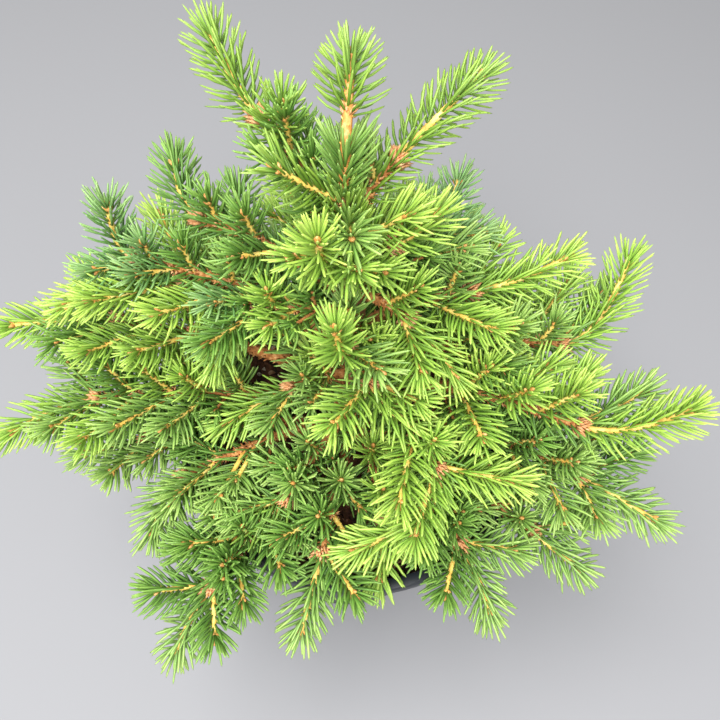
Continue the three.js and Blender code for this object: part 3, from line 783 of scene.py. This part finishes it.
barkForm = {
    "trunkStep": 0.7, "boughStep": 0.8, "twigStep": 3,
    "roundness": {"trunk": 16, "bough": 5, "twig": 2},
    "reliefs": {"trunk": ((0.8, 3.0, 3), (0.35, 1.2, 4)), "bough": ((0.6, 1.5, 5),),
                "twig": ()},  # height and grain in mm, with a seed
    "noise": (0.8, 2.0, 3),  # how fast finer noise fades, how much finer it is, and how often it is added
    "sunk": 2,  # how far the trunk goes on down into the soil
    "boughFoot": 1.6,  # how far a bough's foot reaches into the trunk
    "swellingTo": 3, "taperedAt": 5,  # along the foot, and past the bough's own end
    "shortBough": 1.9, "forkRadius": 1.15, "footSwelling": 1.12, "footFlare": 1.3, "taper": 0.8,
    "twigRadii": {"stem": 1.25, "leader": 1.7, "new": 1.0, "mature": 0.75},  # at a shoot's foot, by age
    "twigTaper": 0.75,
}


def roughen(mesh, height, grain, seed):  # moves the skin in and out, in mm, by noise of that grain
    offset = Vector((seed, 2 * seed, 3 * seed))
    shifts = [noise.fractal(v.co / (grain * mm) + offset, *barkForm["noise"]) for v in mesh.vertices]
    normals = [v.normal.copy() for v in mesh.vertices]
    for vertex, shift, normal in zip(mesh.vertices, shifts, normals):
        vertex.co += normal * shift * height * mm


def stemMesh(name, runs, kind):  # runs of points and radii, in mm
    curve = bpy.data.curves.new(name, "CURVE")
    curve.dimensions = "3D"
    curve.bevel_depth = mm
    curve.bevel_resolution = barkForm["roundness"][kind]
    curve.use_fill_caps = True
    for points, radii in runs:
        spline = curve.splines.new("POLY")
        spline.points.add(len(points) - 1)
        places = np.column_stack([points * mm, np.ones(len(points))])
        spline.points.foreach_set("co", places.ravel())
        spline.points.foreach_set("radius", np.asarray(radii, float))
    tube = bpy.data.objects.new(name, curve)
    mesh = bpy.data.meshes.new_from_object(tube)
    mesh.name = name
    bpy.data.objects.remove(tube)
    bpy.data.curves.remove(curve)
    mesh.materials.clear()
    mesh.shade_smooth()
    for relief in barkForm["reliefs"][kind]:
        roughen(mesh, *relief)
    return mesh


def makeTrunk():
    base, tip, step = plantPlan["trunkBase"], plantPlan["trunkTip"], barkForm["trunkStep"]
    heights = np.arange(base - barkForm["sunk"], tip + step / 2, step)
    points = [trunkCentre(max(height, base)) * (1, 1, 0) + up * height for height in heights]
    radii = [trunkRadius(max(height, base)) for height in heights]
    return stemMesh("trunk_bark", [(np.array(points), radii)], "trunk")


def woodRadius(limb):
    return boughRadius(limb) if limb["boughLength"] else barkForm["shortBough"]


def makeBoughs():
    form, runs = barkForm, []
    for limb in limbs:
        way, base = limb["way"], woodRadius(limb)
        distances = np.arange(0, way.forkAt + 1, form["boughStep"])
        points = way.along(distances)[0]
        inward = points[0] - heading(limb["turn"]) * form["boughFoot"]
        marks = [0, form["swellingTo"], limb["boughLength"] + form["taperedAt"], way.forkAt]
        radii = np.interp(distances, marks,
                          [form["footSwelling"] * base, base, form["taper"] * base, form["forkRadius"]])
        runs.append((np.vstack([inward, points]), np.concatenate([[form["footFlare"] * base], radii])))
    return stemMesh("bough_bark", runs, "bough")


def makeTwigs(name, ages):
    runs = []
    for shoot in shoots:
        way, age = shoot["way"], shoot["age"]
        if age in ages:
            start = way.forkAt if age == "stem" else 0
            count = max(3, int((way.length - start) / barkForm["twigStep"]))
            distances = np.linspace(start, way.length, count)
            foot = barkForm["twigRadii"][age]
            runs.append((way.along(distances)[0], np.linspace(foot, barkForm["twigTaper"] * foot, count)))
    return stemMesh(name, runs, "twig")


drySkin = {"detail": 5.0, "roughGrain": 0.65, "spread": (0.3, 0.7), "strength": 0.8, "relief": 0.4}


def makeDryMaterial(name, colours, grain, roughness):  # colours from the hollows up, and grain in mm
    material, tree, shader, place = newMaterial(name, {"Roughness": roughness, "IOR": 1.5})
    scales = addNode(tree, "TexNoise", {"Scale": scaleOf(grain), "Detail": drySkin["detail"],
                                        "Roughness": drySkin["roughGrain"]}, [("Vector", place, "Object")])
    # the same noise sets colour and relief: besides the surface's own mottling, the hollows are darker as
    # painted shade and the raised parts lighter as painted highlight
    colour = addNode(tree, "ValToRGB", {}, [("Fac", scales, "Fac")], evenStops(colours, *drySkin["spread"]))
    bump = addNode(tree, "Bump", {"Strength": drySkin["strength"], "Distance": drySkin["relief"] * mm},
                   [("Height", scales, "Fac")])
    tree.links.new(colour.outputs["Color"], shader.inputs["Base Color"])
    tree.links.new(bump.outputs["Normal"], shader.inputs["Normal"])
    return material


# spruce bark: thin dry scales, matt, with their own mottling, lighter where they lift as painted highlight
# and darker between them as painted shade, and warmer the younger the wood is
trunkBark = makeDryMaterial("spruce trunk bark", ("#5e3c25", "#93643f", "#c39a70"), 2.4, 0.85)
olderBark = makeDryMaterial("young spruce bark", ("#84502a", "#bb793d", "#dfab6e"), 1.8, 0.85)
leaderBark = makeDryMaterial("last year's shoot skin", ("#bf7434", "#dc9548", "#ebb676"), 2.0, 0.65)
# skin that is not bark yet: yellow and smoother, so that it catches more light
greenBark = makeDryMaterial("new shoot skin", ("#dc9c48", "#ecc960", "#f6e28e"), 3.0, 0.6)

addObject("trunk_bark", makeTrunk(), trunkBark, ["trunk"])
boughNodes = [f"bough_{limb['name']}" for limb in limbs if limb["boughLength"]]
addObject("bough_bark", makeBoughs(), olderBark, boughNodes)
addObject("twigs_new", makeTwigs("twigs_new", ("new", "stem")), greenBark)
addObject("leader_stem", makeTwigs("leader_stem", ("leader",)), leaderBark)
addObject("twigs_mature", makeTwigs("twigs_mature", ("mature",)), olderBark)
print("stems made")


# Pegs that fallen needles leave, scales at the foot of each new shoot, and buds: all of them short spikes

stubSpread = {"lean": 7, "length": (0.75, 1.2), "radius": (0.8, 1.15), "bend": 0.1, "sunk": 0.8}
pegShape = {
    "stations": (0, 0.7, 1), "widths": (1, 0.6, 0), "flatness": 0.85, "sides": 3,
    "old": {"spacing": 0.4, "lean": 52, "length": 2.0, "radius": 0.44, "bare": 3, "seed": 53},
    "trunk": {"spacing": 0.16, "lean": 55, "length": 2.0, "radius": 0.44, "bare": 3, "rise": 0.3},
    "new": {"spacing": 0.8, "lean": 35, "length": 1.0, "radius": 0.3, "bare": 1, "seed": 54, "stem": 0.85},
}
scaleShape = {
    "stations": (0, 0.5, 1), "widths": (0.7, 1, 0), "flatness": 0.85, "sides": 3,
    "count": 10, "lean": 40, "length": 2.2, "radius": 0.5, "stem": 1.1, "seed": 59,
    "strength": {"stem": 2.1, "leader": 1.2, "new": 1.2},  # larger under an end shoot
    "more": 2.2,  # the power of the strength by which there are more of them
    "reach": (-0.5, 1.4), "newFoot": 0.6,  # from behind the foot to past it, and where a side shoot's is
}
budShape = {
    "stations": (0, 0.25, 0.6, 0.85, 1), "widths": (0.75, 1, 0.85, 0.45, 0), "flatness": 0.85, "sides": 6,
    "length": 3.4, "radius": 1.15, "seed": 61,
    "strength": (0.7, 0.01),  # on a very short shoot, and how much each mm adds
    "cluster": ((0, 1), (40, 0.75), (44, 0.7), (40, 0.66)),  # lean and size of each bud at a tip
    "clusterTurn": 2.2, "back": 0.4, "sideBack": 1.4, "sideOut": 0.5,
}


def stubsOn(way, distances, stemRadii, stub, random, size=1.0):
    spread, count = stubSpread, len(distances)
    centres, tangents, lefts, aboves = way.along(distances)
    radials = turned(lefts, aboves, goldenTurn * np.arange(count) + random.uniform(0, fullTurn))
    leans = np.radians(stub["lean"] + random.normal(0, spread["lean"], count))
    feet = centres + radials * (stemRadii * spread["sunk"])[:, None]
    lengths = stub["length"] * size * random.uniform(*spread["length"], count)
    radii = stub["radius"] * size * random.uniform(*spread["radius"], count)
    directions = turned(tangents, radials, leans)
    return feet, directions, radials * spread["bend"], lengths, radii, np.zeros(count)


def makeOldPegs():
    peg, form, rows = pegShape["old"], barkForm, []
    random = np.random.default_rng(peg["seed"])
    for limb in limbs:
        way, radius = limb["way"], woodRadius(limb)
        distances = np.arange(peg["bare"], way.forkAt, peg["spacing"])
        radii = np.interp(distances, [0, limb["boughLength"] + form["taperedAt"], way.forkAt],
                          [radius, form["taper"] * radius, form["forkRadius"]])
        rows.append(stubsOn(way, distances, radii, peg, random))
    peg = pegShape["trunk"]
    heights = np.arange(plantPlan["trunkBase"] + peg["bare"], plantPlan["trunkTip"], peg["spacing"])
    trunk = Way([trunkCentre(heights[k]) for k in (0, len(heights) // 2, -1)])
    marks = np.linspace(0, trunk.length, len(heights))
    radii = np.array([trunkRadius(height) for height in heights])
    rows.append(stubsOn(trunk, marks, radii + peg["rise"], peg, random))
    return spikeMesh("pegs_old", rows, pegShape)


youngShoots = [(shoot["way"], shoot["age"]) for shoot in shoots if shoot["age"] != "mature"]


def makeNewPegs():
    peg, rows = pegShape["new"], []
    random = np.random.default_rng(peg["seed"])
    for way, age in youngShoots:
        distances = np.arange(way.forkAt if age == "stem" else peg["bare"], way.length, peg["spacing"])
        radii = np.full(len(distances), peg["stem"] * barkForm["twigRadii"][age])
        rows.append(stubsOn(way, distances, radii, peg, random))
    return spikeMesh("pegs_new", rows, pegShape)


def makeScales():
    shape, rows = scaleShape, []
    random = np.random.default_rng(shape["seed"])
    first, last = shape["reach"]
    for way, age in youngShoots:
        feet = {"stem": way.forkAt, "leader": needleGrowth["leaderBareTo"], "new": shape["newFoot"]}
        strong = shape["strength"][age]
        count = int(shape["count"] * strong ** shape["more"])
        distances = feet[age] + np.linspace(first, last * strong, count)
        radii = np.full(count, shape["stem"] * strong)
        rows.append(stubsOn(way, distances, radii, shape, random, strong ** 0.5))
    return spikeMesh("bud_scales", rows, shape)


def makeBuds():
    shape, rows = budShape, []
    random = np.random.default_rng(shape["seed"])
    least, gain = shape["strength"]
    for way, _ in youngShoots:
        centre, tangent, left, above = way.at(way.length - shape["back"])
        strong = min(1, least + gain * way.length)
        turn = random.uniform(0, fullTurn)
        for k, (lean, size) in enumerate(shape["cluster"]):
            sideways = turned(left, above, turn + k * shape["clusterTurn"])
            direction = turned(tangent, sideways, math.radians(lean))
            foot = centre - tangent * shape["sideBack"] + sideways * shape["sideOut"] if k else centre
            length, radius = shape["length"] * size * strong, shape["radius"] * size * strong
            rows.append([foot[None], direction[None], np.zeros((1, 3)), [length], [radius], [0]])
    return spikeMesh("buds", rows, shape)


# dried bud scales: papery and red-brown. Closed buds: the same scales under resin, so a little glossier
# like the bark, both are darker in their hollows as painted shade and lighter on raised parts as painted
# highlight
dryScale = makeDryMaterial("dry bud scale", ("#c8824e", "#dea26b", "#eec698"), 1.2, 0.7)
budSkin = makeDryMaterial("resinous bud scale", ("#bd7438", "#dc9a50", "#f0cc8c"), 0.9, 0.5)
addObject("pegs_old", makeOldPegs(), olderBark)
addObject("pegs_new", makeNewPegs(), greenBark)
addObject("bud_scales", makeScales(), dryScale)
addObject("buds", makeBuds(), budSkin)
print("pegs, scales and buds made")


# Pot: spun from its profile

def spunMesh(name, profile, steps):  # profile of radius and height pairs in mm, closed on the axis
    form = bmesh.new()
    corners = [form.verts.new((radius * mm, 0, height * mm)) for radius, height in profile]
    edges = [form.edges.new(pair) for pair in zip(corners, corners[1:])]
    bmesh.ops.spin(form, geom=corners + edges, cent=(0, 0, 0), axis=(0, 0, 1), angle=2 * math.pi,
                   steps=steps, use_merge=True)
    bmesh.ops.remove_doubles(form, verts=form.verts, dist=0.01 * mm)
    bmesh.ops.recalc_face_normals(form, faces=form.faces)
    return meshFromForm(name, form)


def drainMesh():  # the plugs that the drain holes are cut with, well through the floor
    form = bmesh.new()
    radius = potPlan["drainRadius"] * mm
    for k in range(potPlan["drainHoles"]):
        middle = heading(360 * k / potPlan["drainHoles"]) * potPlan["drainReach"] * mm
        bmesh.ops.create_cone(form, cap_ends=True, segments=potPlan["drainSides"], radius1=radius,
                              radius2=radius, depth=4 * potPlan["floor"] * mm,
                              matrix=Matrix.Translation(middle))
    return meshFromForm("drains", form)


def potProfile():  # from the middle of the base, up the outside and down the inside, with eased corners
    pot = potPlan
    top, base, lip = pot["height"], pot["baseRadius"], pot["lipRadius"]
    footHeight, floor = pot["footHeight"], pot["floor"]
    lipFoot = top - pot["lipHeight"]
    mouth = pot["neckRadius"] - pot["wall"]
    recess = base - pot["footWidth"]
    low, middle, high = pot["ringHeights"]
    profile = [(0, footHeight), (recess - footHeight, footHeight), (recess, 0)]
    profile += [(base - footHeight, 0), (base, footHeight)]
    profile += [(float(potOuterRadius(height)), height) for height in (low, middle, high, lipFoot - 1)]
    profile.append((pot["neckRadius"], lipFoot))
    profile += [(lip - inward, lipFoot + rise) for inward, rise in pot["lipFootCorners"]]
    profile += [(lip - inward, top - drop) for inward, drop in pot["lipTopCorners"]]
    profile += [(mouth + outward, top - drop) for outward, drop in pot["mouthCorners"]]
    profile.append((mouth, lipFoot))
    inward, rise = pot["floorCorner"]
    profile += [(potInnerRadius(height), height) for height in (high, middle, floor + rise)]
    profile += [(potInnerRadius(floor) - inward, floor), (0, floor)]
    return profile


def makePot():
    whole = bpy.data.objects.new("pot_whole", spunMesh("pot_whole", potProfile(), potPlan["steps"]))
    cutter = bpy.data.objects.new("pot_drains", drainMesh())
    cut = whole.modifiers.new("drains", "BOOLEAN")
    cut.operation = "DIFFERENCE"
    cut.object = cutter
    for part in (whole, cutter):
        scene.collection.objects.link(part)
    finished = whole.evaluated_get(bpy.context.evaluated_depsgraph_get())
    mesh = bpy.data.meshes.new_from_object(finished)
    for part in (whole, cutter):
        bpy.data.objects.remove(part)
    mesh.name = "pot_shell"
    mesh.shade_smooth()
    mesh.set_sharp_from_angle(angle=math.radians(potPlan["sharpFrom"]))
    return mesh


potSkin = {
    "settings": {"Roughness": 0.42, "IOR": 1.49},
    "colours": ("#15181c", "#23282f"), "spread": (0.35, 0.7), "flow": 30,
    "grain": 0.8, "strength": 0.2, "relief": 0.08,
}


def makePotMaterial():
    # polypropylene, injection moulded: near black with a cool soft sheen and faint flow marks
    skin = potSkin
    material, tree, shader, place = newMaterial("moulded polypropylene", skin["settings"])
    flow = addNode(tree, "TexNoise", {"Scale": scaleOf(skin["flow"]), "Detail": 4.0},
                   [("Vector", place, "Object")])
    stops = evenStops(skin["colours"], *skin["spread"])
    colour = addNode(tree, "ValToRGB", {}, [("Fac", flow, "Fac")], stops)
    grain = addNode(tree, "TexNoise", {"Scale": scaleOf(skin["grain"]), "Detail": 2.0},
                    [("Vector", place, "Object")])
    bump = addNode(tree, "Bump", {"Strength": skin["strength"], "Distance": skin["relief"] * mm},
                   [("Height", grain, "Fac")])
    tree.links.new(colour.outputs["Color"], shader.inputs["Base Color"])
    tree.links.new(bump.outputs["Normal"], shader.inputs["Normal"])
    return material


addObject("pot_shell", makePot(), makePotMaterial(), ["pot"])
print("pot made")


# Soil: a relief of composted bark, with loose chips on it

soilMix = {
    "relief": 1.3, "grain": 7, "noise": (0.9, 2.1, 4), "noiseSlice": 40,
    "dip": 0.9,  # its relief lies this far under the flat top of the solid
    "clear": 0.15, "edgeDrop": 1, "overFloor": 1, "chamfer": (1.5, 0.8), "rings": 44, "steps": 140,
}
bitShape = {
    "rings": ((-0.5, 0.55), (0.0, 1.0), (0.5, 0.5)), "cornerShares": (0.65, 1.15),
    "sunk": 0.25, "pitch": 0.3, "edgeHeight": 105, "edgeRoom": 4, "trunkRoom": 1,
}
bits = {  # count, least and most length in mm, thickness and width as shares of the length, seed
    "bark_chips_dark": (760, (3, 10), (0.16, 0.35), (0.35, 0.7), 8),
    "bark_chips_pale": (210, (2.5, 7), (0.14, 0.3), (0.3, 0.6), 9),
    "grit": (260, (1.2, 4.0), (0.6, 0.9), (0.7, 0.95), 10),
}


def soilHeight(x, y):  # in mm
    bumps = noise.fractal(Vector((x, y, soilMix["noiseSlice"])) / soilMix["grain"], *soilMix["noise"])
    return potPlan["soilTop"] - soilMix["dip"] + soilMix["relief"] * bumps


def makeSoil():
    bottom, edge = potPlan["floor"] + soilMix["overFloor"], potPlan["soilTop"] - soilMix["edgeDrop"]
    inward, down = soilMix["chamfer"]
    side = [(potInnerRadius(height) - soilMix["clear"], height) for height in (bottom, edge)]
    profile = [(0, bottom - down), (side[0][0] - inward, bottom - down), *side]
    profile += [(radius, potPlan["soilTop"]) for radius in np.linspace(side[1][0], 0, soilMix["rings"])[1:]]
    mesh = spunMesh("soil_bed", profile, soilMix["steps"])
    for vertex in mesh.vertices:
        if vertex.co.z > (edge - 0.5) * mm:  # the bed's top and its edge
            vertex.co.z = soilHeight(vertex.co.x / mm, vertex.co.y / mm) * mm
    mesh.shade_smooth()
    return mesh


def bitPlaces(count, random):  # over the whole bed, but not where the trunk stands
    radius = (potInnerRadius(bitShape["edgeHeight"]) - bitShape["edgeRoom"]) * np.sqrt(random.random(count))
    turn = random.uniform(0, 2 * math.pi, count)
    x, y = radius * np.cos(turn), radius * np.sin(turn)
    keep = np.hypot(x, y) > plantPlan["trunkRadius"] + plantPlan["flareRadius"] + bitShape["trunkRoom"]
    heights = [soilHeight(a, b) for a, b in zip(x[keep], y[keep])]
    return np.column_stack([x[keep], y[keep], heights])


def scatterBits(name):
    amount, lengths, thickness, width, seed = bits[name]
    random = np.random.default_rng(seed)
    places = bitPlaces(amount, random)
    count = len(places)
    long = random.uniform(*lengths, count)
    wide = long * random.uniform(*width, count)
    thick = long * random.uniform(*thickness, count)
    yaw, pitch = random.uniform(0, fullTurn, count), random.normal(0, bitShape["pitch"], count)
    ahead = np.column_stack([np.cos(yaw) * np.cos(pitch), np.sin(yaw) * np.cos(pitch), np.sin(pitch)])
    left, above = across(ahead)
    middles = places + up * (bitShape["sunk"] * thick)[:, None]
    # three four-cornered rings, the outer two smaller, each corner moved a little
    points = np.empty((count, 12, 3))
    for ring, (station, size) in enumerate(bitShape["rings"]):
        for k, (sideSign, riseSign) in enumerate(((1, 1), (-1, 1), (-1, -1), (1, -1))):
            jitter = random.uniform(*bitShape["cornerShares"], (3, count))
            points[:, ring * 4 + k] = (
                middles
                + ahead * (station * long * jitter[0])[:, None]
                + left * (sideSign * 0.5 * wide * size * jitter[1])[:, None]
                + above * (riseSign * 0.5 * thick * size * jitter[2])[:, None]
            )
    faces = [(0, 2, 1), (0, 3, 2), (8, 9, 10), (8, 10, 11)]
    for ring in (0, 4):
        for k in range(4):
            a, b = ring + k, ring + (k + 1) % 4
            faces += [(a, b, b + 4), (a, b + 4, a + 4)]
    mesh = meshOfCopies(name, points, faces)
    mesh.shade_flat()
    return mesh


# composted bark, dark and damp, with drier and paler chips and matt volcanic grit on it
# each of these is darker in its hollows as painted shade and lighter on raised parts as painted highlight
soilBed = makeDryMaterial("composted bark fines", ("#1d1410", "#38271c", "#57402e"), 1.6, 0.95)
darkChip = makeDryMaterial("composted pine bark", ("#301c13", "#57331f", "#825436"), 2.5, 0.85)
paleChip = makeDryMaterial("dry bark and wood chip", ("#7a5238", "#a67e5b", "#c9a889"), 2.0, 0.85)
pumice = makeDryMaterial("pumice grit", ("#a08f7c", "#cbbba6", "#e2d8c8"), 0.8, 0.9)
addObject("soil_bed", makeSoil(), soilBed, ["soil"])
for name, material in (("bark_chips_dark", darkChip), ("bark_chips_pale", paleChip), ("grit", pumice)):
    addObject(name, scatterBits(name), material)
print("soil made")


# Floor and light

studio = {
    "floor": "#8e8e91", "floorRadius": 12, "floorSides": 96, "floorRoughness": 0.7,
    "sky": "#f2f3f2", "skyStrength": 0.84,
    "aim": (0, 0, 0.15),  # what the lights point at
    "lights": {  # place, width in metres, power in watts
        "key": ((-0.35, -0.15, 1.3), 0.8, 16),
        "fill": ((0.9, -0.7, 0.8), 1.0, 3),
        "front": ((-0.1, -0.75, 1.1), 0.7, 15),
    },
}


def addFloor():
    form = bmesh.new()
    bmesh.ops.create_circle(form, cap_ends=True, segments=studio["floorSides"],
                            radius=studio["floorRadius"])
    floor = bpy.data.objects.new("floor", meshFromForm("floor", form))
    scene.collection.objects.link(floor)
    settings = {"Base Color": toLinear(studio["floor"]), "Roughness": studio["floorRoughness"]}
    floor.data.materials.append(newMaterial("matt studio floor", settings)[0])


def addLight(name, place, width, power):  # a round soft light, turned to the plant
    data = bpy.data.lights.new(name, "AREA")
    data.shape = "DISK"
    data.size = width
    data.energy = power
    light = bpy.data.objects.new(name, data)
    light.location = place
    light.rotation_mode = "QUATERNION"
    light.rotation_quaternion = (Vector(studio["aim"]) - Vector(place)).to_track_quat("-Z", "Y")
    scene.collection.objects.link(light)


def addSky():
    world = bpy.data.worlds.new("studio")
    world.use_nodes = True
    sky = world.node_tree.nodes["Background"]
    sky.inputs["Color"].default_value = toLinear(studio["sky"])
    sky.inputs["Strength"].default_value = studio["skyStrength"]
    scene.world = world


addFloor()
for name, facts in studio["lights"].items():
    addLight(name, *facts)
addSky()
print("floor and lights made")
scene.view_settings.view_transform = "Standard"
